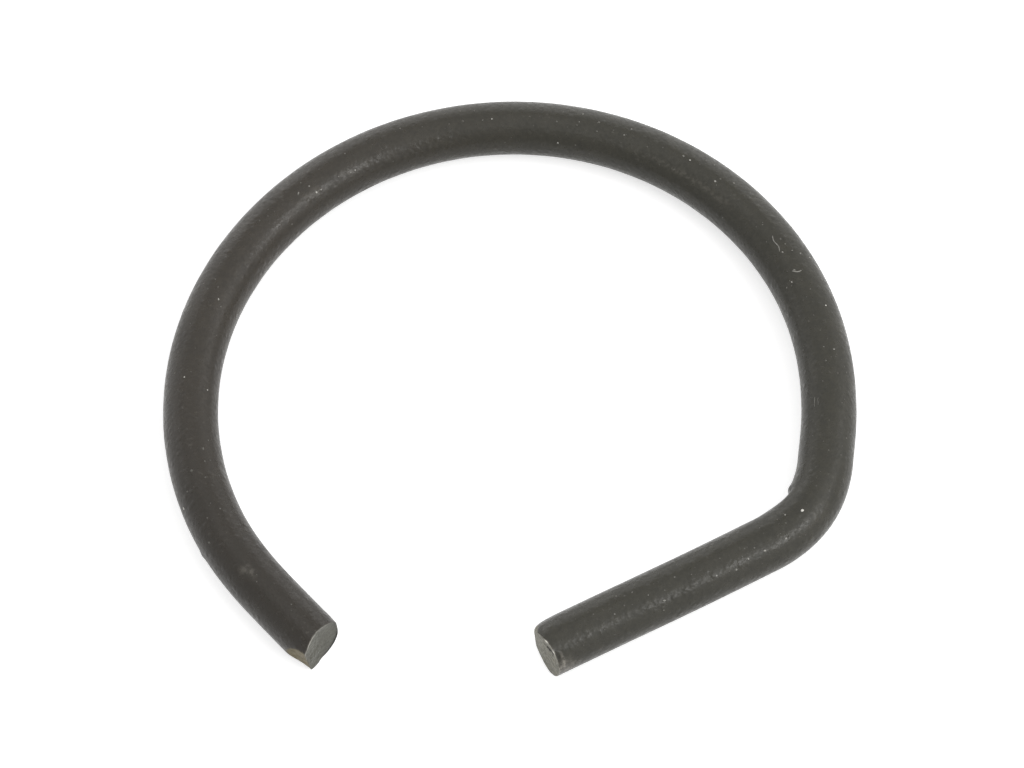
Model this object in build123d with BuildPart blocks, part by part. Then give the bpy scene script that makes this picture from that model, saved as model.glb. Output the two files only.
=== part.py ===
from build123d import *
import os
from math import cos, radians, sin, tan

# A spring retainer clip, bent from one length of round spring wire.
#
# An open ring, round for about two thirds of a turn, springs over a shaft and sits
# round it. One end of the ring runs off at a tangent as a short straight tail. The
# other end turns in through a tight bend to a straight leg, which crosses the mouth
# of the ring as a chord. Both ends are as the shear left them: the blade came from
# inside the ring and rolled the wire's inner edge over, then cut cleanly about half
# way through, and the rest broke off at its own lean. On the tail, the lower blade
# also nipped the outer side of the wire flat. The edge of the forming tool pressed a
# shallow mark into the inside of the bend.
#
# Millimetres and degrees. The origin is the middle of the ring, on the surface that
# the clip lies on. The ring's axis is +Z and its mouth opens towards -Y. Angles round
# the ring are counted from +X, anticlockwise as seen from above.

# --- driving dimensions: the wire and its path ---
wire_diameter = 2.0
ring_bore = 21.14  # inside diameter of the ring
tail_angle = 220.0  # where the tail leaves the ring
ring_wrap_angle = 228.3  # how far the ring goes round from there, clockwise
tail_length = 2.66  # straight, to the middle of its end face
neck_length = 1.66  # straight, between the ring and the bend
bend_inside_radius = 3.17
bend_angle = 57.0
leg_length = 8.87  # straight, to the middle of its end face

# --- driving dimensions: the sheared ends ---
# A lean makes an end face shorter towards the inside of the ring where it is positive,
# and a tilt makes it shorter at the top.
tail_tilt = 5.0
tail_cut_lean_angle = 2.5
tail_break_lean_angle = 17.5
tail_cut_depth = 0.97  # of the clean cut, from the inner side of the wire
tail_rollover_length = 0.24  # along the wire
tail_rollover_depth = 0.15  # across it
leg_tilt = 1.0
leg_cut_lean_angle = -3.4
leg_break_lean_angle = -4.5
leg_cut_depth = 0.9
leg_rollover_length = 0.68
leg_rollover_depth = 0.4
rollover_lift_height = 0.02  # the rolled edge leaves the wire's side at a slight angle

# --- driving dimensions: the nip on the tail ---
nip_start = 0.61  # along the wire, back from the middle of the end face
nip_end = 0.26  # on beyond it, at the tip of the broken face
nip_depth = 0.28  # taken off the side of the wire at the tip
nip_hollow = 0.07  # how much deeper it is half way than a flat would be
nip_turn = 6.0  # how far below the level of the wire's middle it faces

# --- driving dimensions: the mark pressed into the inside of the bend ---
press_start = 1.83  # along the middle of the wire, from the start of the bend
press_length = 1.5
press_depth = 0.12  # at its start, where it has a sharp edge
press_hollow = 0.035  # how much deeper it is half way than a flat would be
press_run_out = 0.015  # how far clear of the wire it ends

# --- worked out from them ---
wire_radius = wire_diameter / 2
ring_radius = (ring_bore + wire_diameter) / 2
bend_radius = bend_inside_radius + wire_radius
spare = wire_diameter / 2  # extra wire beyond each end face, for the shear to take off
clear = wire_diameter / 4  # how far each cut reaches past the surface of the wire
up = Vector(0, 0, 1)


def shear_cut(plane, cut_lean, break_lean, cut_depth, rollover_length, rollover_depth):
    """What the shear takes off the end: X runs out of the wire, Y towards the blade."""
    cut_slope = -tan(radians(cut_lean))
    break_slope = -tan(radians(break_lean))
    break_y = wire_radius - cut_depth
    roll_y = wire_radius - rollover_depth
    roll_x = cut_slope * roll_y
    far_x = spare + clear
    far_y = wire_radius + clear
    broken_edge = (cut_slope * break_y - break_slope * (far_y + break_y), -far_y)
    with BuildSketch(plane) as cut:
        with BuildLine():
            Polyline(broken_edge, (cut_slope * break_y, break_y), (roll_x, roll_y))
            rollover = EllipticalCenterArc(
                (roll_x - rollover_length, roll_y),
                rollover_length, rollover_depth + rollover_lift_height, start_angle=0, arc_size=90,
            )
            Polyline(
                rollover @ 1, ((rollover @ 1).X, far_y),
                (far_x, far_y), (far_x, -far_y), broken_edge,
            )
        make_face()
    return cut.sketch


def nip_cut(plane):
    """What the lower blade nips off: X runs out of the wire, Y towards that blade."""
    with BuildSketch(plane) as nip:
        with BuildLine():
            hollow = SagittaArc(
                (-nip_start, wire_radius), (nip_end, wire_radius - nip_depth), -nip_hollow
            )
            run_in = Line(hollow @ 0 - (hollow % 0) * clear, hollow @ 0)
            run_out = Line(hollow @ 1, hollow @ 1 + (hollow % 1) * (spare + clear))
            Polyline(run_out @ 1, (nip_end + spare + clear, wire_radius + clear), run_in @ 0)
        make_face()
    return nip.sketch


def press_cut(bend):
    """What the forming tool pressed in, as seen from above: sharp at its start."""
    first = press_start / bend.length
    last = (press_start + press_length) / bend.length
    first_inward = (bend % first).cross(up)
    last_inward = (bend % last).cross(up)
    edge = bend @ first + first_inward * (wire_radius - press_depth)
    run_out = bend @ last + last_inward * (wire_radius + press_run_out)
    edge_top = edge + first_inward * (press_depth + clear)
    with BuildSketch() as press:
        with BuildLine():
            hollow = SagittaArc((edge.X, edge.Y), (run_out.X, run_out.Y), press_hollow)
            Polyline(hollow @ 1, (edge_top.X, edge_top.Y), hollow @ 0)
        make_face()
    return press.sketch


def end_plane(face_centre, outward, side, tilt):
    """Plane with X out of the wire's end, tilted up, and Y towards the given side."""
    x_dir = outward * cos(radians(tilt)) + up * sin(radians(tilt))
    return Plane(face_centre, x_dir=x_dir, z_dir=x_dir.cross(side))


with BuildPart() as retainer_clip:
    # The path of the wire's middle, from the tail round the ring to the leg
    with BuildLine(Plane.XY.offset(wire_radius)) as path:
        ring = CenterArc((0, 0), ring_radius, tail_angle, -ring_wrap_angle)
        tail = PolarLine(ring @ 0, tail_length + spare, direction=(ring % 0) * -1)
        neck = PolarLine(ring @ 1, neck_length, direction=ring % 1)
        bend = JernArc(neck @ 1, neck % 1, bend_radius, -bend_angle)
        leg = PolarLine(bend @ 1, leg_length + spare, direction=bend % 1)
    with BuildSketch(Plane(tail @ 1, z_dir=tail % 1)):
        Circle(wire_radius)
    sweep(path=path.line)

    # The tail's end: sheared from inside the ring, then nipped on the outer side
    tail_out = tail % 1
    tail_face = tail @ 0 + tail_out * tail_length
    tail_inward = up.cross(tail_out)
    tail_blade = end_plane(tail_face, tail_out, tail_inward, tail_tilt)
    extrude(
        shear_cut(
            tail_blade, tail_cut_lean_angle, tail_break_lean_angle, tail_cut_depth,
            tail_rollover_length, tail_rollover_depth,
        ),
        amount=wire_diameter, both=True, mode=Mode.SUBTRACT,
    )
    nip_side = tail_inward * -cos(radians(nip_turn)) - up * sin(radians(nip_turn))
    extrude(
        nip_cut(end_plane(tail_face, tail_out, nip_side, 0)),
        amount=wire_diameter, both=True, mode=Mode.SUBTRACT,
    )

    # The leg's end: sheared from inside the ring
    leg_out = leg % 1
    leg_face = leg @ 0 + leg_out * leg_length
    leg_blade = end_plane(leg_face, leg_out, leg_out.cross(up), leg_tilt)
    extrude(
        shear_cut(
            leg_blade, leg_cut_lean_angle, leg_break_lean_angle, leg_cut_depth,
            leg_rollover_length, leg_rollover_depth,
        ),
        amount=wire_diameter, both=True, mode=Mode.SUBTRACT,
    )

    # The mark inside the bend, which goes through the whole height of the wire's side
    extrude(press_cut(bend), amount=wire_diameter, mode=Mode.SUBTRACT)

retainer_clip.part.label = "retainer_clip"
os.makedirs("parts", exist_ok=True)
export_step(retainer_clip.part, "parts/retainer_clip.step")
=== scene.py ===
"""Spring retainer clip, dressed: coated spring wire with two sheared ends, on a pale floor.

Lengths are in millimetres and angles in degrees until a mesh is filled, where they become
metres. The wire is followed from its tail to its leg. A place on it is given by how far
along the wire it is from the middle of the tail's end face, and by how far round the wire
it is: 0 faces the inside of the ring, 90 faces up, 180 outwards and 270 down.
"""
import math

import bpy
import numpy as np
from mathutils import Matrix, Vector


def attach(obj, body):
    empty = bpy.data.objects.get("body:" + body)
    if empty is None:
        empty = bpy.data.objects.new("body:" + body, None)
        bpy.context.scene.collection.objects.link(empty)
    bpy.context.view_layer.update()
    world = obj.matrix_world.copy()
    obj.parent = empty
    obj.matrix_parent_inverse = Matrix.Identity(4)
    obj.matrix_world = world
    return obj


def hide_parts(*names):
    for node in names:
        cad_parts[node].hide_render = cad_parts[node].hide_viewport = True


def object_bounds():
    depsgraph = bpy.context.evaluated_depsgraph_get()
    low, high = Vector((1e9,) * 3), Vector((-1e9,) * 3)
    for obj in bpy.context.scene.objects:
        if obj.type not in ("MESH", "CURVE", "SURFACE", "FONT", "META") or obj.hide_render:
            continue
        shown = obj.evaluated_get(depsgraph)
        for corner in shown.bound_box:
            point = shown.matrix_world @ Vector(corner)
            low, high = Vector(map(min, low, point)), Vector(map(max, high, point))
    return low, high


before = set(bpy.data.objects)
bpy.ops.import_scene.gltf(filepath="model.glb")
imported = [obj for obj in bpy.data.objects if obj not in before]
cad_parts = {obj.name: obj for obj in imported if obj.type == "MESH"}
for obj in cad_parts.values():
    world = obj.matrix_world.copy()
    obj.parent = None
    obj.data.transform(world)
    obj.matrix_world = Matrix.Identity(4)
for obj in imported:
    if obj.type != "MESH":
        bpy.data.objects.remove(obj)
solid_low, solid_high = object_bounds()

MM = 0.001
UP = np.array([0, 0, 1.0])

# --- the wire and its path ---
WIRE_RADIUS = 1.0
RING_RADIUS = 11.57
TAIL_ANGLE = 220.0
RING_WRAP = 228.3
TAIL_LENGTH = 2.66
NECK_LENGTH = 1.66
BEND_RADIUS = 4.17
BEND_ANGLE = 57.0
LEG_LENGTH = 8.87

RING_LENGTH = math.radians(RING_WRAP) * RING_RADIUS
BEND_LENGTH = math.radians(BEND_ANGLE) * BEND_RADIUS
BEND_START = TAIL_LENGTH + RING_LENGTH + NECK_LENGTH
LEG_START = BEND_START + BEND_LENGTH
LEG_FACE = LEG_START + LEG_LENGTH

# Where the bent wire strays to the inside: the middle, the half length and how far
STRAYS = (
    (3.5, 1.5, 0.033), (18.0, 6.0, 0.032), (49.2, 1.15, -0.04), (52.4, 1.1, -0.022),
    (57.5, 3.2, -0.04),
)

# --- the sheared ends ---
# Leans, tilts, lengths and depths as the shear left them. Twist and crown are how far the face
# stands out for each square millimetre, rough is how uneven the broken part is, and rounding
# is how far in from the rim the corner is rounded.
TAIL_CUT = dict(
    cut_lean=2.5, break_lean=17.5, cut_depth=0.97, roll_length=0.24, roll_depth=0.15,
    roll_lift=0.02, tilt=5.0, twist=0.0, crown=0.09, rough=0.007, rounding=0.022, seed=21,
)
LEG_CUT = dict(
    cut_lean=-3.4, break_lean=-4.5, cut_depth=0.9, roll_length=0.68, roll_depth=0.4,
    roll_lift=0.02, tilt=1.0, twist=0.09, crown=0.0, rough=0.006, rounding=0.02, seed=31,
)
TAIL_NIP = dict(start=0.61, end=0.26, depth=0.28, hollow=0.07, side=186.0)
# The wire's inner side is drawn in behind each face: where that begins and how far it goes on,
# how deep a slow slope and a steep one make it, how many radians above the inside it is
# deepest, and the power of the cosine with which it falls off from there
TAIL_DRAW = dict(begin=0.6, reach=0.5, slow=0.018, steep=0.0, deepest=0.4, power=2)
LEG_DRAW = dict(begin=LEG_FACE - 0.95, reach=0.9, slow=0.055, steep=0.09, deepest=0.35, power=1.5)

# --- marks on the wire's side ---
# How far along and round, half length along and half width round, and how far it stands out
PIT = (63.28, 140, 0.09, 0.17, -0.05)
PIT_RIDGE = (63.11, 150, 0.035, 0.2, 0.012)
PRESS_LIP = (52.08, 14, 0.17, 0.32, 0.016)
NICK = (7.97, 22, 0.075, 0.22, -0.04)
LUMP = (5.31, 186, 0.13, 0.16, 0.034)
PRESS = dict(start=52.15, length=1.8, depth=0.155, side=8.0, width=0.44)
UNEVEN = 0.0045  # how far the wire's side falls short of its drawn radius at most

# --- how finely the surface is drawn ---
AROUND = 128
END_ZONE = 1.7  # this much of the wire behind each end face is drawn more finely
END_ROWS = 36
CORNER_ROWS = 5
FACE_ROWS = 34
RIM_TRIES = (-1.5, 1.2, 700)  # how far out the rim is looked for, and in how many places
PRESS_ZONE = (51.6, 53.0)  # so is this stretch, where the pressed mark starts
BODY_ROWS = (418, 36, 72)  # up to that stretch, along it and past it
FAR = 9.0  # stands for a distance that is past everything near it
RIPPLE_TURN = 57.3  # degrees round the wire for one unit of a ripple
# A point's kind goes from 0 on the side, through its rounded corner, to 1 on a face
SIDE_BELOW = 0.5
CORNER_ABOVE = 0.3
BARE_ABOVE = 0.35
FACE_ABOVE = 0.9


# --- small helpers ---
def ripple(a, b, wave, seed, count=14):
    """Smooth unevenness between about -1 and 1: the sum of cosines of a and b, whose directions,
    phases and wavelengths (from 0.6 to 1.7 times the given one) are drawn once from the seed."""
    rng = np.random.default_rng(seed)
    heading = rng.uniform(0, 2 * math.pi, count)
    phase = rng.uniform(0, 2 * math.pi, count)
    number = 2 * math.pi / (wave * rng.uniform(0.6, 1.7, count))
    total = np.zeros(np.broadcast(a, b).shape)
    for h, p, k in zip(heading, phase, number):
        total = total + np.cos(k * (a * math.cos(h) + b * math.sin(h)) + p)
    return total / math.sqrt(2 * count)


def step(x, low, high):
    """0 below low, 1 above high, and 3t^2 - 2t^3 between."""
    t = np.clip((x - low) / (high - low), 0, 1)
    return t * t * (3 - 2 * t)


def bell(x, width):
    """1 where x is 0, falling off as exp(-(x / width)^2)."""
    return np.exp(-((x / width) ** 2))


def turned_from(around, side):
    """The turn from one side of the wire to another, in radians between -pi and pi."""
    return (np.radians(around - side) + math.pi) % (2 * math.pi) - math.pi


def mound(along, around, centre, side, length, width):
    """1 at a place on the wire, falling off as exp(-x^2) along it and round it."""
    round_it = turned_from(around, side) * WIRE_RADIUS
    return np.exp(-(((along - centre) / length) ** 2) - (round_it / width) ** 2)


def sway(along):
    """How far the bent wire strays to the inside of its drawn path: bells exp(-x^2)."""
    total = 0 * along
    for middle, length, stray in STRAYS:
        total = total + stray * bell(along - middle, length)
    return total


def wire_path(along):
    """Middle of the wire, its heading and the direction to the ring's inside.

    A straight of length l and heading h adds l * (cos h, sin h). An arc of radius r that turns
    clockwise from heading h to g adds r * (sin h - sin g, cos g - cos h). The slight sway of
    the bent wire is added to these."""
    start_angle = math.radians(TAIL_ANGLE)
    heading = start_angle - math.pi / 2
    x = RING_RADIUS * math.cos(start_angle) - TAIL_LENGTH * math.cos(heading) + 0 * along
    y = RING_RADIUS * math.sin(start_angle) - TAIL_LENGTH * math.sin(heading) + 0 * along
    facing = heading + 0 * along
    runs = [
        (TAIL_LENGTH, None), (RING_LENGTH, RING_RADIUS), (NECK_LENGTH, None),
        (BEND_LENGTH, BEND_RADIUS), (LEG_LENGTH, None),
    ]
    begin = 0.0
    for number, (length, radius) in enumerate(runs):
        low = -np.inf if number == 0 else 0.0
        high = np.inf if number == len(runs) - 1 else length
        part = np.clip(along - begin, low, high)
        if radius is None:
            x = x + part * math.cos(heading)
            y = y + part * math.sin(heading)
        else:
            turned = heading - part / radius
            x = x + radius * (math.sin(heading) - np.sin(turned))
            y = y + radius * (np.cos(turned) - math.cos(heading))
            facing = facing - part / radius
            heading = heading - length / radius
        begin = begin + length
    middle = np.stack([x, y, WIRE_RADIUS + 0 * along], -1)
    onward = np.stack([np.cos(facing), np.sin(facing), 0 * along], -1)
    inward = np.stack([np.sin(facing), -np.cos(facing), 0 * along], -1)
    return middle + sway(along)[..., None] * inward, onward, inward


def on_wire(along, inner, above):
    """Points at a distance along the wire, offset to the ring's inside and up."""
    middle, _, inward = wire_path(along)
    return middle + inner[..., None] * inward + above[..., None] * UP


# --- the wire's side ---
def pressed_flat(along, around):
    """Depth of the mark that the forming tool pressed into the inside of the bend: it drops
    sharply at its start and runs out as (1 - t)^1.7."""
    sharp_from, sharp_to = PRESS["start"] - 0.02, PRESS["start"] + 0.2
    t = np.clip((along - PRESS["start"]) / PRESS["length"], 0, 1)
    run = step(along, sharp_from, sharp_to) * (1 - t) ** 1.7
    round_it = np.abs(turned_from(around, PRESS["side"]))
    beside = step(round_it, 0.55 * PRESS["width"], 1.45 * PRESS["width"])
    return PRESS["depth"] * run * (1 - beside)


def drawn_in(along, around):
    """How far the shears drew the wire's inner side in behind each end face: a slow slope
    t^1.5 and a steep one t^7, both times a power of the cosine round the wire."""
    total = 0
    runs = ((along - LEG_DRAW["begin"], LEG_DRAW), (TAIL_DRAW["begin"] - along, TAIL_DRAW))
    for run, draw in runs:
        t = np.clip(run / draw["reach"], 0, 1.1)
        side = np.clip(np.cos(np.radians(around) - draw["deepest"]), 0, 1) ** draw["power"]
        total = total + (draw["slow"] * t**1.5 + draw["steep"] * t**7) * side
    return total


def side_radius(along, around):
    """Radius of the wire's side: the drawn radius, less a slight unevenness, with its marks."""
    turn = np.radians(around)
    uneven = ripple(along * 0.55, np.sin(turn), 0.9, seed=11) * np.cos(turn + 0.6)
    uneven = uneven + ripple(along * 0.6, np.cos(turn), 0.8, seed=12) * np.sin(turn - 0.3)
    radius = WIRE_RADIUS - UNEVEN * (0.5 + 0.5 * np.clip(uneven, -1, 1))
    radius = radius - pressed_flat(along, around) - drawn_in(along, around)
    for *place, height in (PRESS_LIP, NICK, LUMP, PIT, PIT_RIDGE):
        radius = radius + height * mound(along, around, *place)
    return radius


# --- the end faces ---
def shear_face(inner, above, cut):
    """How far an end face stands out along the wire at a place on it.

    From the blade's side: the rolled-over edge is a quarter of an ellipse, the clean cut leans
    one way and the broken part another, and the whole face tilts and twists a little. A crown
    stands out as the square of the height above the middle. The line where the break begins
    wanders, and only the broken part is rough."""
    seed, rough = cut["seed"], cut["rough"]
    wander, blur = 0.06, 0.05
    cut_slope = -math.tan(math.radians(cut["cut_lean"]))
    break_slope = -math.tan(math.radians(cut["break_lean"]))
    break_at = WIRE_RADIUS - cut["cut_depth"] + wander * ripple(above, 0 * inner, 0.7, seed + 1)
    roll_at = WIRE_RADIUS - cut["roll_depth"]
    clean = cut_slope * np.minimum(inner, roll_at)
    broken = cut_slope * break_at + break_slope * (inner - break_at)
    blend = step(inner - break_at, -blur, blur)
    flat = blend * clean + (1 - blend) * broken
    over = np.clip((inner - roll_at) / (cut["roll_depth"] + cut["roll_lift"]), 0, 1)
    rolled = cut["roll_length"] * (1 - np.sqrt(1 - over**2))
    fracture = rough * ripple(inner, above, 0.16, seed, 22) * (1 - blend)
    fracture = fracture + 0.6 * rough * ripple(inner, above, 0.33, seed + 2) * (1 - blend)
    tilt = -math.tan(math.radians(cut["tilt"])) * above
    crown = cut["crown"] * np.maximum(above, 0) ** 2
    return flat + fracture - rolled + tilt + crown + cut["twist"] * inner * above


def nip_radius(out, around, nip):
    """Radius at which the nip leaves the wire: its flat stands off the wire's middle by a
    chord with a slight hollow, d, and cuts the side at d / cos of the angle from its facing."""
    if nip is None:
        return np.full(np.broadcast(out, around).shape, FAR)
    scraped, grazing = 0.006, 0.05
    t = (out + nip["start"]) / (nip["start"] + nip["end"])
    hollow = np.where(t < 1, 4 * nip["hollow"] * t * (1 - t), -4 * nip["hollow"] * (t - 1))
    stand = WIRE_RADIUS - nip["depth"] * t - hollow
    scrape = scraped * ripple(out, np.radians(around), 0.13, seed=41)
    facing = np.cos(np.radians(around - nip["side"]))
    return np.where(facing > grazing, (stand + scrape) / np.maximum(facing, grazing), FAR)


def nipped_side(out, around, face_at, outward, nip):
    """Radius of the side at a distance out past an end face, with the nip off it. Where the
    two meet, the edge is rounded: the mix m of them is lowered by soft * m * (1 - m)."""
    soft = 0.02
    whole = side_radius(face_at + outward * out, around)
    nipped = nip_radius(out, around, nip)
    mix = np.clip(0.5 + 0.5 * (nipped - whole) / soft, 0, 1)
    return nipped * (1 - mix) + whole * mix - soft * mix * (1 - mix)


def find_rim(face_height, side):
    """How far out the side meets the face in each direction round the wire. The place is on a
    straight line between the last try short of the face and the first one past it."""
    tries = np.linspace(*RIM_TRIES)[:, None]
    past = tries - face_height(side(tries))
    first = np.argmax(past > 0, axis=0)
    column = np.arange(AROUND)
    low, high = past[first - 1, column], past[first, column]
    return tries[first - 1, 0] + (tries[1, 0] - tries[0, 0]) * low / (low - high)


def end_rows(face_at, outward, cut, nip):
    """Rows of one end, from END_ZONE behind its face to the middle of the face.

    For each direction round the wire the side runs out to where it meets the face. The corner
    is rounded with a curve of the second degree, and the face is then crossed to its middle,
    with its rows closest together near the rim. Each point gets its kind, from 0 on the side
    to 1 on the face, its gap from the rim and whether it is in the nip."""
    around = np.arange(AROUND) * 360.0 / AROUND
    inner_part, upper_part = np.cos(np.radians(around)), np.sin(np.radians(around))

    def side(out):
        return nipped_side(out, around, face_at, outward, nip)

    def face_height(radius):
        return shear_face(radius * inner_part, radius * upper_part, cut)

    rim = find_rim(face_height, side)
    rim_radius = side(rim)
    ragged = ripple(around / RIPPLE_TURN, 0 * around, 0.5, cut["seed"] + 5)
    rounding = cut["rounding"] * (1 + 0.5 * ragged)
    side_end = rim - rounding
    rows = []
    for t in np.linspace(0, 1, END_ROWS):
        out = -END_ZONE + (side_end + END_ZONE) * t
        rows.append((out, side(out), 0 * around, rim - out))
    start_out, start_radius = rows[-1][:2]
    turn_radius = rim_radius - rounding
    turn_out = face_height(turn_radius)
    for t in np.linspace(0, 1, CORNER_ROWS + 2)[1:-1]:
        near, middle, beyond = (1 - t) ** 2, 2 * t * (1 - t), t * t
        out = near * start_out + middle * rim + beyond * turn_out
        radius = near * start_radius + middle * rim_radius + beyond * turn_radius
        rows.append((out, radius, t + 0 * around, 0 * around))
    for t in np.linspace(0, 1, FACE_ROWS, endpoint=False):
        radius = turn_radius * (1 - t**1.7)
        rows.append((face_height(radius), radius, 1 + 0 * around, rim_radius - radius))
    out, radius, kind, gap = (np.array(column) for column in zip(*rows))
    nip_mark = np.zeros_like(out)
    if nip is not None:
        below = side_radius(face_at, around)[None, :] - nip_radius(out, around[None, :], nip)
        past_start = step(out, -nip["start"] - 0.05, -nip["start"] + 0.12)
        nip_mark = step(below, -0.012, 0.01) * (kind < SIDE_BELOW) * past_start
    marks = dict(radius=radius, kind=kind, gap=gap, nip=nip_mark)
    return out, marks, shear_face(np.zeros(1), np.zeros(1), cut)[0]


def clip_surface():
    """The whole wire as rows of points round it, closed by a point at the middle of each face.

    It gives the points, how many rows they make, and what each point's finish goes by: its
    distance along the wire, how far inwards and up from the wire's middle it is, its kind, its
    gap from the rim and whether it is in the nip."""
    around = np.arange(AROUND) * 360.0 / AROUND
    out, marks, tail_middle = end_rows(0.0, -1.0, TAIL_CUT, TAIL_NIP)
    tail = dict(along=(-out)[::-1], **{key: value[::-1] for key, value in marks.items()})
    out, marks, leg_middle = end_rows(LEG_FACE, 1.0, LEG_CUT, None)
    leg = dict(along=LEG_FACE + out, **marks)

    fine_from, fine_to = PRESS_ZONE
    before, within, after = BODY_ROWS
    spread = np.concatenate([
        np.linspace(END_ZONE, fine_from, before)[1:],
        np.linspace(fine_from, fine_to, within)[1:],
        np.linspace(fine_to, LEG_FACE - END_ZONE, after)[1:-1],
    ])
    along = spread[:, None] + 0 * around[None, :]
    body = dict(
        along=along, radius=side_radius(along, around[None, :]),
        kind=0 * along, gap=FAR + 0 * along, nip=0 * along,
    )
    rows = {key: np.concatenate([tail[key], body[key], leg[key]]) for key in body}
    radius = rows.pop("radius")
    rows["inner"] = radius * np.cos(np.radians(around))
    rows["above"] = radius * np.sin(np.radians(around))
    middles = dict(
        along=[-tail_middle, LEG_FACE + leg_middle], inner=[0, 0], above=[0, 0],
        kind=[1, 1], gap=[1, 1], nip=[0, 0],
    )
    at = {key: np.concatenate([rows[key].ravel(), middles[key]]) for key in rows}
    return on_wire(at["along"], at["inner"], at["above"]), len(radius), at


def closed_faces(count, wide):
    """Faces over rows of points that wrap round, with a fan to a pole at each end: the points
    are the rows one after another, and then the two poles."""
    i, j = np.meshgrid(np.arange(count - 1), np.arange(wide), indexing="ij")
    beside = (j + 1) % wide
    quads = np.stack(
        [i * wide + j, i * wide + beside, (i + 1) * wide + beside, (i + 1) * wide + j], -1
    ).reshape(-1, 4)
    edge = np.arange(wide)
    edge_next = (edge + 1) % wide
    first_fan = np.stack([np.full(wide, count * wide), edge_next, edge], -1)
    base = (count - 1) * wide
    last_fan = np.stack([np.full(wide, count * wide + 1), base + edge, base + edge_next], -1)
    return quads, np.concatenate([first_fan, last_fan])


def closed_skin(name, points, quads, fans):
    """Mesh of closed skins from points in millimetres. If its volume, a third of the sum of
    a . (b x c) over the faces, comes out negative, it is inside out and its faces turn over."""
    verts = points * MM
    a, b, c = verts[quads[:, 0]], verts[quads[:, 1]], verts[quads[:, 2]]
    if np.einsum("ij,ij->i", a, np.cross(b, c)).sum() < 0:
        quads, fans = quads[:, ::-1], fans[:, ::-1]
    mesh = bpy.data.meshes.new(name)
    mesh.from_pydata(verts.tolist(), [], quads.tolist() + fans.tolist())
    mesh.update()
    mesh.polygons.foreach_set("use_smooth", np.ones(len(mesh.polygons), bool))
    return mesh


def placed(name, data):
    """An object in the scene that shows a mesh, or holds a lamp or the camera."""
    thing = bpy.data.objects.new(name, data)
    bpy.context.scene.collection.objects.link(thing)
    return thing


def point_value(mesh, name, values):
    """A number at each point of a mesh, for its material to read."""
    layer = mesh.attributes.new(name, "FLOAT", "POINT")
    layer.data.foreach_set("value", np.asarray(values, np.float32).ravel())


def point_place(mesh, name, values):
    """A position at each point of a mesh, for its material to read."""
    layer = mesh.attributes.new(name, "FLOAT_VECTOR", "POINT")
    layer.data.foreach_set("vector", np.asarray(values, np.float32).ravel())


# --- dust, lint and painted glints ---
# Specks that stand out, of dust, and painted pale as glints where they lie on the leg's highlight
# line: along, around, half length along, half width round, how pale
SPECKS_AND_GLINTS = (
    (53.05, 97, 0.055, 0.05, 1.0), (53.6, 79, 0.03, 0.03, 0.6), (6.93, 156, 0.06, 0.045, 0.75),
    (15.2, 72, 0.04, 0.025, 0.7), (21.28, 55, 0.03, 0.035, 0.75), (11.75, 100, 0.03, 0.025, 0.6),
    (44.53, 115, 0.035, 0.03, 0.7), (36.65, 91, 0.03, 0.03, 0.65), (37.95, 82, 0.04, 0.035, 0.55),
    (28.83, 79, 0.03, 0.025, 0.55), (31.45, 31, 0.03, 0.03, 0.5), (43.2, 66, 0.035, 0.03, 0.6),
    # On these three lines, the specks from 54.1 to 58.98 mm along are glints painted on the leg's
    # highlight line
    (46.35, 107, 0.03, 0.025, 0.5), (14.6, 160, 0.05, 0.035, 0.5), (54.93, 123, 0.05, 0.03, 0.55),
    (56.15, 132, 0.04, 0.03, 0.45), (58.98, 125, 0.045, 0.03, 0.45), (54.1, 121, 0.035, 0.03, 0.55),
    (55.6, 123, 0.035, 0.03, 0.5), (56.9, 125, 0.03, 0.03, 0.45), (32.2, 108, 0.03, 0.025, 0.5),
    (33.95, 81, 0.03, 0.02, 0.45), (11.35, 48, 0.03, 0.03, 0.5), (23.1, 51, 0.03, 0.03, 0.5),
    (41.68, 96, 0.03, 0.025, 0.2), (41.93, 81, 0.035, 0.025, 0.35), (42.03, 101, 0.03, 0.03, 0.25),
    (42.24, 115, 0.03, 0.03, 0.3), (42.44, 135, 0.035, 0.04, 0.4), (43.77, 95, 0.03, 0.03, 0.1),
    (21.5, 54, 0.035, 0.03, 0.45), (21.19, 75, 0.03, 0.03, 0.28), (22.9, 51, 0.04, 0.03, 0.35),
    (7.3, 127, 0.05, 0.03, 0.1), (7.53, 81, 0.03, 0.05, 0.08), (7.95, 104, 0.05, 0.05, 0.08),
    (8.74, 69, 0.05, 0.04, 0.08), (8.2, 72, 0.03, 0.03, 0.12), (5.24, 134, 0.04, 0.03, 0.1),
    (36.35, 92, 0.05, 0.03, 0.2), (34.1, 101, 0.035, 0.03, 0.3), (38.5, 107, 0.03, 0.03, 0.3),
    (20.68, 77, 0.055, 0.03, 0.4), (45.63, 150, 0.04, 0.03, 0.4), (60.8, 107, 0.03, 0.03, 0.2),
)
SCATTER = 330  # fine specks strewn over the wire
SCATTER_SIZE = 0.024
SPECK_ROWS, SPECK_AROUND = 4, 8
# Fibres of lint: along and around at the start, half way and at the end, how far a wave in
# them strays round the wire, the thickness, and how pale
FIBRES = (
    ((41.13, 84.5), (41.5, 80), (41.86, 75.5), -2.6, 0.034, 0.3),
    ((42.8, 77), (42.92, 86), (42.93, 96), 0.0, 0.046, 0.33),
    ((48.24, 57), (48.46, 56.5), (48.68, 57), 0.4, 0.022, 0.22),
    ((48.3, 65), (48.46, 64.5), (48.62, 65), -0.4, 0.02, 0.18),
)
FIBRE_ROWS, FIBRE_AROUND = 24, 8


def stand_on(along, around, lift):
    """Points that stand off the wire's side, and the ways along it, round it and outwards."""
    turn = np.radians(around)
    _, onward, inward = wire_path(along)
    outward = np.cos(turn)[..., None] * inward + np.sin(turn)[..., None] * UP
    round_it = np.cos(turn)[..., None] * UP - np.sin(turn)[..., None] * inward
    reach = side_radius(along, around) + lift
    return on_wire(along, reach * np.cos(turn), reach * np.sin(turn)), onward, round_it, outward


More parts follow.
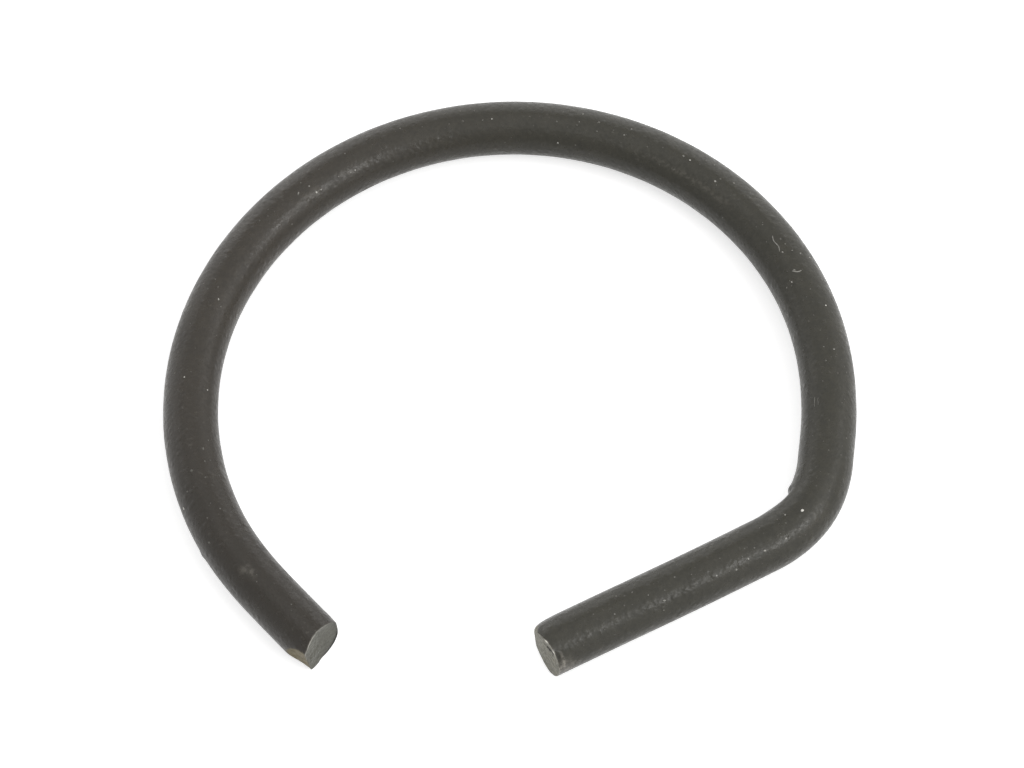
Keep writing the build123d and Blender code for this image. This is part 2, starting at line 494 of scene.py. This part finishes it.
def strewn(rng):
    """Fine specks like those in SPECKS_AND_GLINTS, at random: more of them towards the leg and on top."""
    size = SCATTER_SIZE * np.exp(rng.normal(0, 0.3, SCATTER))
    return np.stack([
        1.0 + 61.6 * rng.uniform(0, 1, SCATTER) ** 0.8, rng.normal(92, 42, SCATTER),
        size, size * rng.uniform(0.6, 1.0, SCATTER), 0.04 + 0.2 * rng.uniform(0, 1, SCATTER) ** 3,
    ], -1)


def round_grid():
    """A sphere of radius 1 on a small grid, its two poles last."""
    tip = np.pi * np.arange(1, SPECK_ROWS + 1) / (SPECK_ROWS + 1)
    side = 2 * np.pi * np.arange(SPECK_AROUND) / SPECK_AROUND
    ring = np.stack([
        np.sin(tip)[:, None] * np.cos(side), np.sin(tip)[:, None] * np.sin(side),
        np.cos(tip)[:, None] + 0 * side,
    ], -1).reshape(-1, 3)
    return np.concatenate([ring, [[0, 0, 1.0], [0, 0, -1.0]]])


def copied_faces(copies, points_each, quads, fans):
    """The faces of one small closed skin, again for each of its copies."""
    shift = (np.arange(copies) * points_each)[:, None, None]
    return (shift + quads).reshape(-1, 4), (shift + fans).reshape(-1, 3)


def dust_and_glint_specks():
    """Points and faces of all the specks, and how pale each point is.

    A speck is a sphere on a small grid whose radius varies by a fifth with a seeded cosine. It
    is stretched along and round the wire, turned about the way out of it, and half sunk."""
    rng = np.random.default_rng(61)
    every = np.concatenate([np.array(SPECKS_AND_GLINTS), strewn(rng)])
    along, around, length, width, pale = every.T
    height = 0.15 * np.minimum(length, width) + 0.003
    spin = rng.uniform(-0.6, 0.6, len(every))
    lobe = rng.normal(0, 1.6, (len(every), 3))
    ball = round_grid()
    ball = ball[None] * (1 + 0.2 * np.cos(ball @ lobe.T).T[..., None])
    centre, onward, round_it, outward = stand_on(along, around, 0 * height)
    first = np.cos(spin)[:, None] * onward + np.sin(spin)[:, None] * round_it
    second = np.cos(spin)[:, None] * round_it - np.sin(spin)[:, None] * onward
    points = centre[:, None] + ball[..., :1] * (length[:, None] * first)[:, None]
    points = points + ball[..., 1:2] * (width[:, None] * second)[:, None]
    points = points + ball[..., 2:] * (height[:, None] * outward)[:, None]
    count, points_each = points.shape[:2]
    faces = copied_faces(count, points_each, *closed_faces(SPECK_ROWS, SPECK_AROUND))
    return points.reshape(-1, 3), *faces, np.repeat(pale, points_each)


def lint_fibre(start, half, end, wave, thickness):
    """Rows and poles of a fibre that lies on the wire: its line is a curve of the second degree
    in along and around, with a wave sin(2 pi t) round the wire, and its section a circle that
    shrinks to nothing at both ends."""
    t = np.linspace(0, 1, FIBRE_ROWS + 2)[1:-1]
    share = np.stack([(1 - t) ** 2, 2 * t * (1 - t), t * t], -1)
    corners = np.array([start, 2 * np.array(half) - (np.array(start) + np.array(end)) / 2, end])
    along, around = (share @ corners).T
    around = around + wave * np.sin(2 * np.pi * t)
    line, _, _, outward = stand_on(along, around, 0.3 * thickness)
    ahead = np.gradient(line, axis=0)
    ahead = ahead / np.linalg.norm(ahead, axis=-1, keepdims=True)
    across = np.cross(ahead, outward)
    section = thickness / 2 * np.sqrt(1 - (2 * t - 1) ** 8)
    turn = 2 * np.pi * np.arange(FIBRE_AROUND) / FIBRE_AROUND
    ring = np.cos(turn)[:, None] * across[:, None] + np.sin(turn)[:, None] * outward[:, None]
    points = line[:, None] + section[:, None, None] * ring
    tips = np.array([2 * line[0] - line[1], 2 * line[-1] - line[-2]])
    return np.concatenate([points.reshape(-1, 3), tips])


def lint():
    """Points and faces of all the fibres, and how pale each point is."""
    points = np.stack([lint_fibre(*fibre[:-1]) for fibre in FIBRES])
    count, points_each = points.shape[:2]
    faces = copied_faces(count, points_each, *closed_faces(FIBRE_ROWS, FIBRE_AROUND))
    return points.reshape(-1, 3), *faces, np.repeat([fibre[-1] for fibre in FIBRES], points_each)


# --- materials ---
class Finish:
    """A material being put together: add() makes a node, and linked sockets are passed as values.

    A scale of noise or crystals is how many there are to the metre, and bumps are in metres."""

    def __init__(self, name):
        self.material = bpy.data.materials.new(name)
        self.material.use_nodes = True
        self.tree = self.material.node_tree
        self.shader = self.tree.nodes["Principled BSDF"]

    def put(self, socket, value):
        """Links a socket to another, or sets its value."""
        if isinstance(value, bpy.types.NodeSocket):
            self.tree.links.new(value, socket)
        else:
            socket.default_value = value

    def shade(self, values):
        """Sets the shader's own sockets."""
        for key, value in values.items():
            self.put(self.shader.inputs[key], value)

    def add(self, kind, values=None, **settings):
        node = self.tree.nodes.new(kind)
        for key, value in settings.items():
            setattr(node, key, value)
        for key, value in (values or {}).items():
            self.put(node.inputs[key], value)
        return node

    def noise(self, place, scale, detail, rough):
        values = {"Vector": place, "Scale": scale, "Detail": detail, "Roughness": rough}
        return self.add("ShaderNodeTexNoise", values).outputs["Fac"]

    def crystals(self, place, scale):
        """Small round lumps, one to a cell, that rise to 1 and stand clear of each other."""
        cells = self.add("ShaderNodeTexVoronoi", {"Vector": place, "Scale": scale})
        return self.spread(cells.outputs["Distance"], 0.08, 0.4, 1.0, 0.0)

    def spread(self, value, low, high, to_low=0.0, to_high=1.0):
        """A soft step from to_low, where the value is low, to to_high, where it is high."""
        node = self.add("ShaderNodeMapRange", {
            "Value": value, "From Min": low, "From Max": high, "To Min": to_low, "To Max": to_high,
        }, interpolation_type="SMOOTHSTEP")
        return node.outputs["Result"]

    def plus(self, a, b):
        return self.add("ShaderNodeMath", {0: a, 1: b}, operation="ADD").outputs[0]

    def times(self, a, b):
        return self.add("ShaderNodeMath", {0: a, 1: b}, operation="MULTIPLY").outputs[0]

    def larger(self, a, b):
        return self.add("ShaderNodeMath", {0: a, 1: b}, operation="MAXIMUM").outputs[0]

    def blend_of(self, *shares):
        """The sum of values, each times its own share."""
        total = None
        for value, share in shares:
            part = self.times(value, share)
            total = part if total is None else self.plus(total, part)
        return total

    def mix(self, share, a, b):
        """A colour between two others. The node's sockets 0, 6 and 7 take the share and them."""
        node = self.add("ShaderNodeMix", data_type="RGBA")
        for index, value in ((0, share), (6, a), (7, b)):
            self.put(node.inputs[index], value)
        return node.outputs[2]

    def point(self, name):
        """The number that each point of the mesh has under a name."""
        return self.add("ShaderNodeAttribute", attribute_name=name).outputs["Fac"]

    def object_place(self):
        return self.add("ShaderNodeTexCoord").outputs["Object"]

    def wire_place(self, scale):
        """Along the wire, inwards and up, in millimetres times a scale for each."""
        place = self.add("ShaderNodeAttribute", attribute_name="wire_place").outputs["Vector"]
        return self.add("ShaderNodeMapping", {"Vector": place, "Scale": scale}).outputs["Vector"]

    def bump(self, height, distance, strength, under=None):
        values = {"Height": height, "Distance": distance, "Strength": strength}
        if under is not None:
            values["Normal"] = under
        return self.add("ShaderNodeBump", values).outputs["Normal"]


# Colours, where there are two from dark to light: the coat, which is olive past the ring's top
# and brown before it, then the bare steel and the dust
OLIVE = ((0.0205, 0.019, 0.0127, 1), (0.0345, 0.0317, 0.0213, 1))
BROWN = ((0.0217, 0.0175, 0.012, 1), (0.0365, 0.0294, 0.0203, 1))
# Darker coat towards the tail
TAIL_DARKENING = (0.0135, 0.0105, 0.0068, 1)
THIN_COAT = (0.1, 0.092, 0.077, 1)
RUB_AND_SHEEN_COAT = (0.25, 0.232, 0.2, 1)
NIPPED = ((0.118, 0.097, 0.05, 1), (0.182, 0.152, 0.084, 1))
# Painted shade on the coat
PAINTED_SHADE_COAT = (0.018, 0.016, 0.013, 1)
# Painted highlight on the coat along a face's rim
COAT_RIM_GLINT = (0.4, 0.385, 0.34, 1)
TAIL_STEEL = ((0.05, 0.049, 0.035, 1), (0.08, 0.078, 0.059, 1))
# The leg's face is painted lighter than the tail's, as painted light standing in for more light on
# it
LEG_STEEL = ((0.068, 0.064, 0.042, 1), (0.19, 0.18, 0.133, 1))
# Painted shade on the bare steel
PAINTED_SHADE_STEEL = (0.02, 0.0195, 0.018, 1)
# Painted highlight on the bare steel along a face's rim
STEEL_RIM_GLINT = (0.8, 0.78, 0.7, 1)
DUST_AND_GLINT = ((0.05, 0.046, 0.038, 1), (0.78, 0.76, 0.7, 1))


def coated_steel():
    """Dark oiled phosphate coat: fine grain, cloudy patches, faint drawing lines along the wire,
    small spots where the coat is thin, and a paler speckle where it is rubbed and, as painted
    sheen, along highlight lines."""
    f = Finish("coated_spring_steel")
    at = f.object_place()
    clouds = f.noise(at, 620.0, 4.0, 0.6)
    mottle = f.noise(at, 3600.0, 3.0, 0.6)
    grain = f.noise(at, 7000.0, 1.5, 0.55)
    lines = f.noise(f.wire_place((0.35, 9.0, 9.0)), 1.0, 3.0, 0.6)
    nipped = f.point("nipped")

    cloudy = f.spread(f.blend_of((clouds, 0.3), (mottle, 0.35), (grain, 0.35)), 0.34, 0.67)
    colour = f.mix(f.point("brown"), f.mix(cloudy, *OLIVE), f.mix(cloudy, *BROWN))
    # Darker towards the tail, fading out by 18 mm along
    colour = f.mix(f.point("tail_darkening"), colour, TAIL_DARKENING)
    spots = f.spread(f.noise(at, 8200.0, 2.0, 0.5), 0.62, 0.74)
    worn = f.times(spots, f.spread(clouds, 0.44, 0.64))
    colour = f.mix(f.times(worn, 0.4), colour, THIN_COAT)
    speckle = f.spread(f.blend_of((grain, 0.5), (mottle, 0.5)), 0.44, 0.58)
    # Paler speckle where the coat is rubbed, and painted sheen along highlight lines
    rub_and_sheen = f.times(f.point("rub_and_sheen"), f.spread(speckle, 0.0, 1.0, 0.3, 1.0))
    colour = f.mix(rub_and_sheen, colour, RUB_AND_SHEEN_COAT)
    colour = f.mix(nipped, colour, f.mix(f.spread(mottle, 0.36, 0.64), *NIPPED))
    # Painted shade, deepest in the pit
    colour = f.mix(f.times(f.point("shade"), 0.85), colour, PAINTED_SHADE_COAT)
    # Painted highlight along a face's rim
    colour = f.mix(f.point("painted_rim_glint"), colour, COAT_RIM_GLINT)

    rough = f.spread(grain, 0.3, 0.7, 0.42, 0.26)
    rough = f.plus(rough, f.spread(clouds, 0.35, 0.65, 0.04, -0.04))
    rough = f.plus(rough, f.times(nipped, 0.25))

    normal = f.bump(lines, 0.000008, 0.35)
    normal = f.bump(mottle, 0.000008, 0.8, normal)
    normal = f.bump(f.crystals(at, 2900.0), 0.00001, 1.0, normal)
    normal = f.bump(grain, 0.000013, 1.0, normal)
    f.shade({
        "Base Color": colour, "Roughness": rough, "Specular IOR Level": 0.35, "Metallic": 0.0,
        "Normal": normal,
    })
    return f.material


def sheared_steel():
    """Bare cut steel, gone grey: fine mottling, faint lines the way the blade went, a painted
    highlight along the edge in places, and painted shade low on the tail's face and in the chips."""
    f = Finish("sheared_steel")
    at = f.object_place()
    grain = f.noise(at, 12000.0, 2.0, 0.6)
    mottle = f.noise(at, 5200.0, 3.0, 0.65)
    blade = f.noise(f.wire_place((0.6, 2.5, 9.0)), 1.0, 2.0, 0.5)
    shade, edge = f.point("shade"), f.point("painted_rim_glint")

    tone = f.spread(f.blend_of((mottle, 0.6), (grain, 0.3), (blade, 0.1)), 0.36, 0.66)
    # The leg's face painted lighter than the tail's, as painted light
    colour = f.mix(f.point("at_leg"), f.mix(tone, *TAIL_STEEL), f.mix(tone, *LEG_STEEL))
    # Painted shade low on the tail's face, at its rolled-over corner and in the leg's chips
    colour = f.mix(shade, colour, PAINTED_SHADE_STEEL)
    # Painted highlight along a face's rim
    colour = f.mix(edge, colour, STEEL_RIM_GLINT)

    normal = f.bump(blade, 0.000005, 0.4)
    normal = f.bump(mottle, 0.000009, 0.6, normal)
    rough_height = f.times(grain, f.spread(f.point("broken"), 0.0, 1.0, 0.5, 1.0))
    normal = f.bump(rough_height, 0.000014, 0.8, normal)
    f.shade({
        "Base Color": colour, "Normal": normal,
        "Roughness": f.larger(f.spread(grain, 0.3, 0.7, 0.6, 0.42), shade),
        "Metallic": f.larger(f.spread(edge, 0.0, 1.0, 0.2, 0.6), shade),
    })
    return f.material


def pale_dust_and_glints():
    """Matt pale dust, also on specks painted as glints, from nearly the coat's own shade to nearly
    white.
    """
    f = Finish("pale_dust_and_glints")
    at = f.object_place()
    tone = f.spread(f.noise(at, 9000.0, 2.0, 0.6), 0.35, 0.65, 0.7, 1.0)
    f.shade({
        "Base Color": f.mix(f.times(f.point("pale"), tone), *DUST_AND_GLINT),
        "Roughness": f.spread(tone, 0.7, 1.0, 0.9, 0.7),
        "Normal": f.bump(f.noise(at, 20000.0, 2.0, 0.6), 0.000004, 0.6),
    })
    return f.material


def looked_at(tree):
    """1 where a surface is seen, straight on or in a reflection or through glass, and 0 where
    it only lights other things."""
    ray = tree.nodes.new("ShaderNodeLightPath")
    seen = ray.outputs["Is Camera Ray"]
    for kind in ("Is Glossy Ray", "Is Transmission Ray"):
        larger = tree.nodes.new("ShaderNodeMath")
        larger.operation = "MAXIMUM"
        tree.links.new(seen, larger.inputs[0])
        tree.links.new(ray.outputs[kind], larger.inputs[1])
        seen = larger.outputs[0]
    return seen


def pale_floor():
    """Matt white board that shows as plain white and still takes the clip's soft shadow."""
    f = Finish("white_board")
    f.shade({
        "Base Color": (0.8, 0.8, 0.8, 1), "Roughness": 0.9, "Specular IOR Level": 0.0,
        "Emission Color": (1, 1, 1, 1), "Emission Strength": f.times(looked_at(f.tree), 0.62),
    })
    return f.material


# --- where each finish shows on the wire ---
NEAR_TAIL = 5.0  # the tail's end is before this, and the leg's past it
HALF_WAY = 30.0
# Rubbed coat, and painted sheen where those at 21.1, 23.0, 37.2 and 52.9 lie along highlight lines:
# how much, along, around, half length along and half width round
RUBS_AND_SHEENS = (
    (0.33, 3.42, 102, 0.24, 0.15), (0.2, 3.58, 112, 0.16, 0.12),
    (1.0, 63.15, 172, 0.4, 0.3), (0.9, *PIT_RIDGE[:2], 0.045, 0.26),
    (0.07, 52.9, 128, 0.7, 0.25), (0.2, 37.2, 57, 2.2, 0.1), (0.12, 43.8, 97, 0.1, 0.08),
    (0.12, 21.1, 60, 0.5, 0.14), (0.12, 23.0, 55, 0.6, 0.14),
)
# Painted glints on the leg's rim: how bright, around and half width round
LEG_GLINTS = ((0.12, 110, 12), (1.0, 97, 4), (0.8, 124, 4), (0.4, 15, 22))
# Chips in the leg's face, painted dark as shade: how dark, around and half width, in from the rim
# and half width
CHIPS = ((0.9, 107, 5, 0.31, 0.11), (1.0, 117, 6, 0.24, 0.13), (1.0, 127, 5, 0.1, 0.09))


def clip_finish(at):
    """Which points of the wire are bare steel, and the numbers that the materials read there.

    The shear bared each face and a little of the rolled-over edge. Along a face's rim a painted
    highlight brightens the metal, more in some directions than in others. The tail's face is
    darker low down with painted shade, and the leg's has chips in it, painted dark as shade."""
    along, inner, kind, gap = at["along"], at["inner"], at["kind"], at["gap"]
    around = np.degrees(np.arctan2(at["above"], inner)) % 360
    tail = along < NEAR_TAIL

    def facing(side, width):
        return bell((around - side + 180) % 360 - 180, width)

    def by_end(at_tail, at_leg):
        return np.where(tail, at_tail, at_leg)

    def depth_line(depth):
        return WIRE_RADIUS - by_end(TAIL_CUT[depth], LEG_CUT[depth])

    bare_past = by_end(0.06 + 0.12 * facing(0, 40), 0.12 + 0.34 * facing(20, 52))
    bare_to = depth_line("roll_depth") + bare_past
    bare_side = ~tail & (gap < 0.26 * facing(27, 24))
    bare = (kind > BARE_ABOVE) & (inner < bare_to) | bare_side

    uneven = step(ripple(around / RIPPLE_TURN, 0 * along, 0.22, seed=51), -0.8, 0.5)
    # Painted highlight along each face's rim, brighter in some directions round the wire than in
    # others
    painted_tail_glint = (0.12 + 0.33 * uneven) * facing(112, 45)
    painted_leg_glint = 0.25 * uneven * facing(150, 60)
    for bright, side, width in LEG_GLINTS:
        painted_leg_glint = painted_leg_glint + bright * facing(side, width)
    near_rim = bell(gap, np.where(kind > FACE_ABOVE, 0.055, 0.02)) * (inner < bare_to)

    # Painted shade: along the low edge and the rolled-over corner of the tail's face, in the pit
    # and in the chips of the leg's face
    shade = bell(gap, 0.16) * (kind > CORNER_ABOVE) * facing(-40, 55) * tail
    shade = shade + 0.2 * bell(gap, 0.25) * (kind > CORNER_ABOVE) * facing(25, 25) * tail
    shade = shade + 0.6 * mound(along, around, *PIT[:2], 0.08, 0.15) * (kind < SIDE_BELOW)
    for dark, side, width, inwards, reach in CHIPS:
        chip = dark * facing(side, width) * bell(gap - inwards, reach)
        shade = shade + chip * (kind > FACE_ABOVE) * ~tail

    # Rubbed coat, and painted sheen along highlight lines
    rub_and_sheen = sum(much * mound(along, around, *place) for much, *place in RUBS_AND_SHEENS)
    return bare, {
        # Painted highlight along each face's rim
        "painted_rim_glint": np.clip(near_rim * by_end(painted_tail_glint, painted_leg_glint), 0, 1),
        "shade": np.clip(shade, 0, 1),
        "broken": step(depth_line("cut_depth") - inner, -0.05, 0.05),
        "rub_and_sheen": np.clip(rub_and_sheen, 0, 1),
        "nipped": at["nip"],
        "brown": 1 - step(along, 18, 34),
        "tail_darkening": 0.5 * (1 - step(along, 2, 18)),
        # Picks the leg's face, which is painted lighter as painted light
        "at_leg": along > HALF_WAY,
    }


def pick_material(mesh, chosen, share):
    """Gives a face the second material where more than this share of its corners is chosen."""
    corners = np.empty(len(mesh.loops), int)
    mesh.loops.foreach_get("vertex_index", corners)
    starts = np.empty(len(mesh.polygons), int)
    mesh.polygons.foreach_get("loop_start", starts)
    sizes = np.empty(len(mesh.polygons), int)
    mesh.polygons.foreach_get("loop_total", sizes)
    found = np.add.reduceat(chosen[corners].astype(float), starts)
    mesh.polygons.foreach_set("material_index", (found / sizes > share).astype(int))


# --- the clip ---
points, row_count, at = clip_surface()
skin = closed_skin("retainer_clip_wire", points, *closed_faces(row_count, AROUND))
bare, finish = clip_finish(at)
point_place(skin, "wire_place", np.stack([at["along"], at["inner"], at["above"]], -1))
for name, values in finish.items():
    point_value(skin, name, values)
skin.materials.append(coated_steel())
skin.materials.append(sheared_steel())
pick_material(skin, bare, 0.6)
clip = placed("retainer_clip_wire", skin)
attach(clip, "root")
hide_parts("retainer_clip")

# --- the dust, painted glints and lint on it ---
dust = pale_dust_and_glints()
for name, (points, quads, fans, pale) in (("clip_dust_and_glints", dust_and_glint_specks()), ("clip_lint", lint())):
    within = np.clip(points, np.array(solid_low) / MM, np.array(solid_high) / MM)
    mesh = closed_skin(name, within, quads, fans)
    point_value(mesh, "pale", pale)
    mesh.materials.append(dust)
    speck = placed(name, mesh)
    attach(speck, "root")

# --- floor, light and camera, in metres ---
FLOOR_REACH = 2.0
LAMP_DISTANCE = 0.5
# Soft lamps: the direction that each is in, how wide and high it is, and its power in watts
LAMPS = (
    ("overhead", (0.0, 0.0, 1.0), (0.6, 0.6), 0.76),
    ("back", (0.0, 1.0, 0.15), (0.6, 0.6), 0.93),
    ("back_right", (0.7, 0.7, 0.3), (0.5, 0.5), 0.35),
    ("back_left", (-0.7, 0.7, 0.3), (0.5, 0.5), 0.46),
    ("right", (1.0, 0.0, 0.35), (0.5, 0.5), 0.19),
    ("left", (-1.0, 0.0, 0.25), (0.5, 0.5), 0.17),
    ("front", (0.0, -0.6, 0.8), (0.4, 0.4), 0.1),
    ("front_right", (0.7, -0.7, 0.2), (0.4, 0.4), 0.36),
    ("high_right", (0.75, 0.1, 0.65), (0.35, 0.35), 0.34),
    ("key", (0.62, -0.38, 0.685), (0.27, 0.16), 0.7),
)
SKY_LIT, SKY_SEEN = 0.3, 1.0  # the white sky's strength as a light and where it is seen
CAMERA_PITCH = 61.017  # how far the camera looks down
CAMERA_ROLL = -3.067
CAMERA_DISTANCE = 151.19  # this and the place that it looks at are in millimetres
CAMERA_AIM = (0.1405, 0.5575, 1.0)
CAMERA_LENS = 146.25

floor_mesh = bpy.data.meshes.new("floor")
floor_mesh.from_pydata(
    [(x * FLOOR_REACH, y * FLOOR_REACH, 0) for x, y in ((-1, -1), (1, -1), (1, 1), (-1, 1))],
    [], [(0, 1, 2, 3)],
)
floor_mesh.materials.append(pale_floor())
floor = placed("floor", floor_mesh)

for name, towards, (wide, high), power in LAMPS:
    direction = Vector(towards).normalized()
    light = bpy.data.lights.new(name, "AREA")
    light.shape = "RECTANGLE"
    light.size, light.size_y = wide, high
    light.energy = power
    lamp = placed(name, light)
    lamp.location = direction * LAMP_DISTANCE
    lamp.rotation_mode = "QUATERNION"
    lamp.rotation_quaternion = direction.to_track_quat("Z", "Y")

world = bpy.data.worlds.new("studio")
bpy.context.scene.world = world
world.use_nodes = True
sky = world.node_tree
background = sky.nodes["Background"]
level = sky.nodes.new("ShaderNodeMapRange")
level.inputs["To Min"].default_value = SKY_LIT
level.inputs["To Max"].default_value = SKY_SEEN
sky.links.new(looked_at(sky), level.inputs["Value"])
sky.links.new(level.outputs["Result"], background.inputs["Strength"])
background.inputs["Color"].default_value = (1, 1, 1, 1)

pitch, roll = math.radians(CAMERA_PITCH), math.radians(CAMERA_ROLL)
back = Vector((0, -math.cos(pitch), math.sin(pitch)))
level_right = Vector((1, 0, 0))
level_up = Vector((0, math.sin(pitch), math.cos(pitch)))
right = math.cos(roll) * level_right + math.sin(roll) * level_up
rise = -math.sin(roll) * level_right + math.cos(roll) * level_up
aim = Vector(CAMERA_AIM) * MM
camera_data = bpy.data.cameras.new("camera")
camera_data.lens = CAMERA_LENS
camera_data.sensor_width = 36.0
camera_data.clip_start = 0.01
camera_data.clip_end = 10.0
camera = placed("camera", camera_data)
facing = Matrix((right, rise, back)).transposed().to_4x4()
camera.matrix_world = Matrix.Translation(aim + back * CAMERA_DISTANCE * MM) @ facing
bpy.context.scene.camera = camera
bpy.context.scene.view_settings.view_transform = "Standard"
